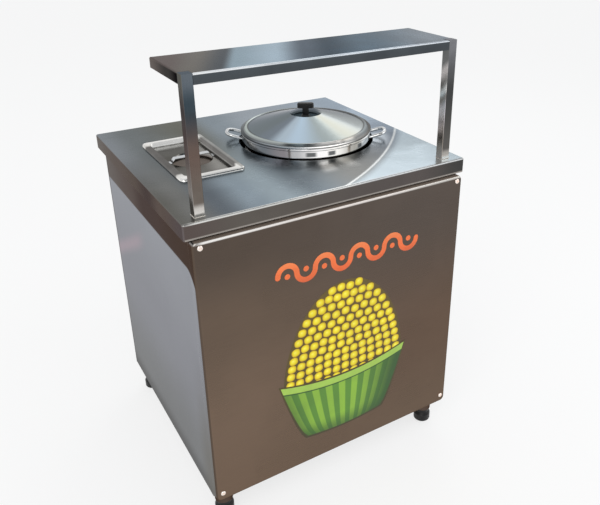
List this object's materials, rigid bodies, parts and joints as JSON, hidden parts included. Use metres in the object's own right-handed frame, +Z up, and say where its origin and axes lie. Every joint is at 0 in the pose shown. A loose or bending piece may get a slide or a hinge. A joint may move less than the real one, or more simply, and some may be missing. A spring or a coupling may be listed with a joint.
{
  "type": "sweet corn serving machine",
  "caption": "Free-standing steel counter that cooks and serves sweet corn: lidded round pot over a gas ring, covered pan, overshelf on posts, back door and screw feet.",
  "frame": {"origin": "on the floor under the middle of the overall box", "axes": "+Z up; -Y is the serving side with the front panel; +Y is the operator's side with the door; +X is to the right seen from the serving side"},
  "size_m": [0.8, 0.7494, 1.228],
  "materials": {
    "brushed_sheet": "cold-rolled stainless sheet with a fine grain",
    "frame_tube": "square tube, brushed",
    "polished_steel": "polished stainless",
    "bright_steel": "bright plated",
    "black_plastic": "moulded, slightly glossy",
    "cast_iron": "rough cast",
    "brass": "turned brass",
    "panel_print": "printed film, yellow, green and orange"
  },
  "bodies": {
    "cabinet": {"back_fascia": "brushed_sheet", "back_left_leg_sleeve": "brushed_sheet", "back_left_upright": "frame_tube", "back_right_leg_sleeve": "brushed_sheet", "back_right_upright": "frame_tube", "bottom_back_rail": "frame_tube", "bottom_front_rail": "frame_tube", "bottom_left_rail": "frame_tube", "bottom_right_rail": "frame_tube", "burner": "cast_iron", "burner_cap": "cast_iron", "burner_shelf": "brushed_sheet", "cabinet_floor": "brushed_sheet", "front_left_leg_sleeve": "brushed_sheet", "front_left_upright": "frame_tube", "front_panel": "brushed_sheet", "front_panel_screws": "bright_steel", "front_panel_spacers": "brushed_sheet", "front_right_leg_sleeve": "brushed_sheet", "front_right_upright": "frame_tube", "gas_pipe": "brass", "gas_valve": "brass", "hinge_cabinet_leaves": "bright_steel", "hinge_pins": "bright_steel", "hose_tail": "brass", "injector": "brass", "left_shelf_post": "brushed_sheet", "left_side_panel": "brushed_sheet", "magnet_catch": "black_plastic", "middle_left_rail": "frame_tube", "middle_right_rail": "frame_tube", "overshelf": "brushed_sheet", "pot_stand": "cast_iron", "right_shelf_post": "brushed_sheet", "right_side_panel": "brushed_sheet", "top_back_rail": "frame_tube", "top_front_rail": "frame_tube", "top_left_rail": "frame_tube", "top_right_rail": "frame_tube", "worktop": "brushed_sheet"},
    "pot": {"pot": "polished_steel", "left_pot_handle": "polished_steel", "right_pot_handle": "polished_steel"},
    "pot_lid": {"pot_lid": "polished_steel", "lid_knob": "black_plastic", "lid_knob_screw": "bright_steel"},
    "pan": {"pan": "polished_steel"},
    "pan_lid": {"pan_lid": "polished_steel", "pan_lid_handle": "polished_steel"},
    "door": {"door": "brushed_sheet", "door_liner": "brushed_sheet", "hinge_door_leaves": "bright_steel", "door_handle": "bright_steel", "catch_strike": "bright_steel"},
    "valve_knob": {"valve_knob": "black_plastic", "valve_spindle": "brass"},
    "front_left_foot": {"front_left_foot": "black_plastic"},
    "front_right_foot": {"front_right_foot": "black_plastic"},
    "back_left_foot": {"back_left_foot": "black_plastic"},
    "back_right_foot": {"back_right_foot": "black_plastic"}
  },
  "joints": [
    {"name": "pot_lift", "type": "slide", "parent": "cabinet", "child": "pot", "axis": [0, 0, 1], "range_m": [0, 0.17]},
    {"name": "pot_lid_lift", "type": "slide", "parent": "pot", "child": "pot_lid", "axis": [0, 0.7071, 0.7071], "range_m": [0, 0.25]},
    {"name": "pan_lift", "type": "slide", "parent": "cabinet", "child": "pan", "axis": [0, 0, 1], "range_m": [0, 0.12]},
    {"name": "pan_lid_lift", "type": "slide", "parent": "pan", "child": "pan_lid", "axis": [0, 0, 1], "range_m": [0, 0.1]},
    {"name": "door_swing", "type": "hinge", "parent": "cabinet", "child": "door", "pos_m": [0.3548, 0.3497, 0.3506], "axis": [0, 0, -1], "range_deg": [0, 120]},
    {"name": "valve_knob_turn", "type": "hinge", "parent": "cabinet", "child": "valve_knob", "pos_m": [0.12, 0.3457, 0.673], "axis": [0, 1, 0], "range_deg": [0, 210]},
    {"name": "front_left_foot_screw", "type": "slide", "parent": "cabinet", "child": "front_left_foot", "axis": [0, 0, -1], "range_m": [0, 0.025]},
    {"name": "front_right_foot_screw", "type": "slide", "parent": "cabinet", "child": "front_right_foot", "axis": [0, 0, -1], "range_m": [0, 0.025]},
    {"name": "back_left_foot_screw", "type": "slide", "parent": "cabinet", "child": "back_left_foot", "axis": [0, 0, -1], "range_m": [0, 0.025]},
    {"name": "back_right_foot_screw", "type": "slide", "parent": "cabinet", "child": "back_right_foot", "axis": [0, 0, -1], "range_m": [0, 0.025]}
  ]
}
